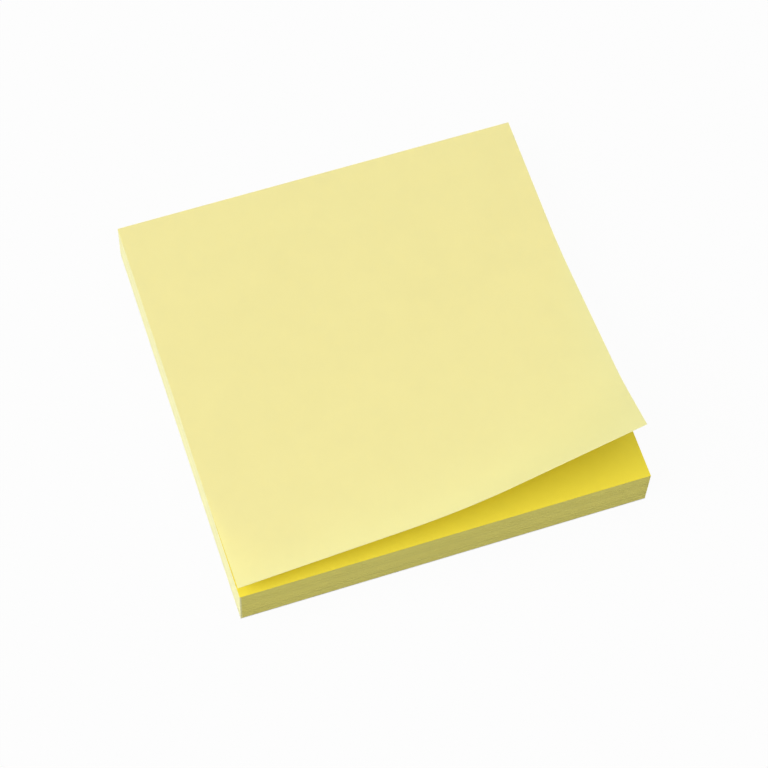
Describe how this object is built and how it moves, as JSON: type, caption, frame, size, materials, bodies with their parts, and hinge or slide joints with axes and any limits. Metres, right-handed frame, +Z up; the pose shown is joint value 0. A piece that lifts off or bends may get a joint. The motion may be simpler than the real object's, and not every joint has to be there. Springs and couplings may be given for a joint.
{
  "type": "sticky note pad",
  "caption": "Square pad of yellow sticky notes, its top note peeled up along the free edge and highest at one corner.",
  "frame": {"origin": "centre of the underside, where the pad rests", "axes": "+Z up through the pad's thickness, +Y towards the glued edge, +X to the right along that edge"},
  "size_m": [0.0762, 0.076, 0.0259],
  "materials": {
    "note_paper": "matte",
    "backing_paper": "satin",
    "low_tack_glue": "matte"
  },
  "bodies": {
    "root": {"backing_sheet": "backing_paper", "note_block": "note_paper", "adhesive_strip": "low_tack_glue", "top_note": "note_paper"}
  },
  "joints": []
}
